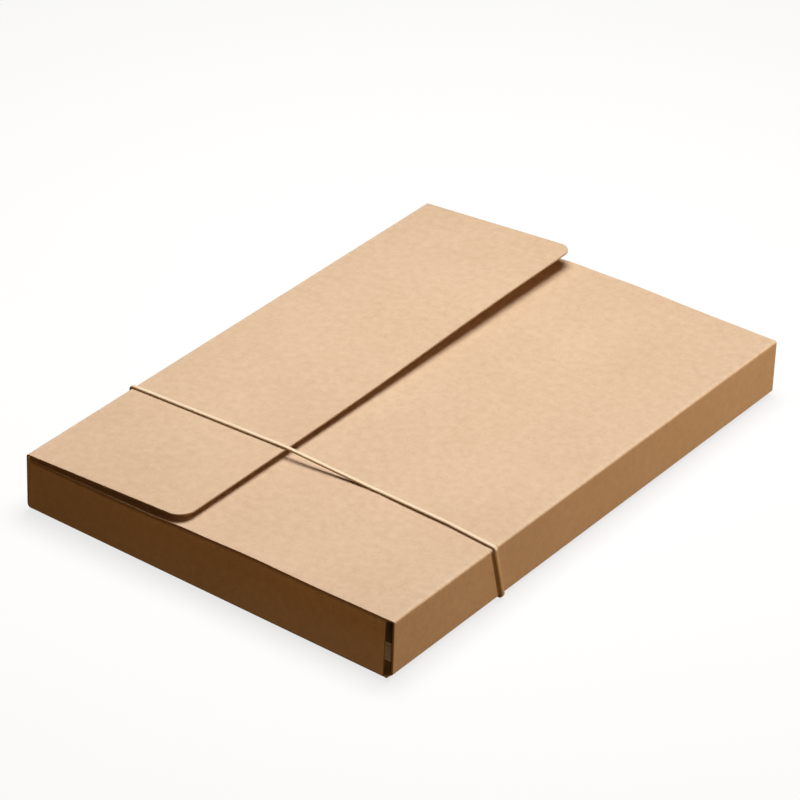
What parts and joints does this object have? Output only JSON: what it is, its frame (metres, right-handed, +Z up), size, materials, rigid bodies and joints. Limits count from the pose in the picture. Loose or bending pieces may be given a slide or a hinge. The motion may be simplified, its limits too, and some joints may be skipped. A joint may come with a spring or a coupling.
{
  "type": "document envelope",
  "caption": "Flat gusseted document envelope of folded kraft board, its long closing flap held down by an elastic band round the short side.",
  "frame": {"origin": "middle of the underside of the whole part, where it rests", "axes": "+Z up, +Y along the long side away from the end with the band, +X from the spine to the opening wall"},
  "size_m": [0.2242, 0.3234, 0.044],
  "materials": {
    "kraft_board": "uncoated brown kraft with fine mottled fibres",
    "natural_rubber": "pale natural rubber, satin",
    "white_paper": "plain white cut sheets"
  },
  "bodies": {
    "root": {"envelope": "kraft_board", "elastic_band": "natural_rubber", "paper_stack": "white_paper"}
  },
  "joints": []
}
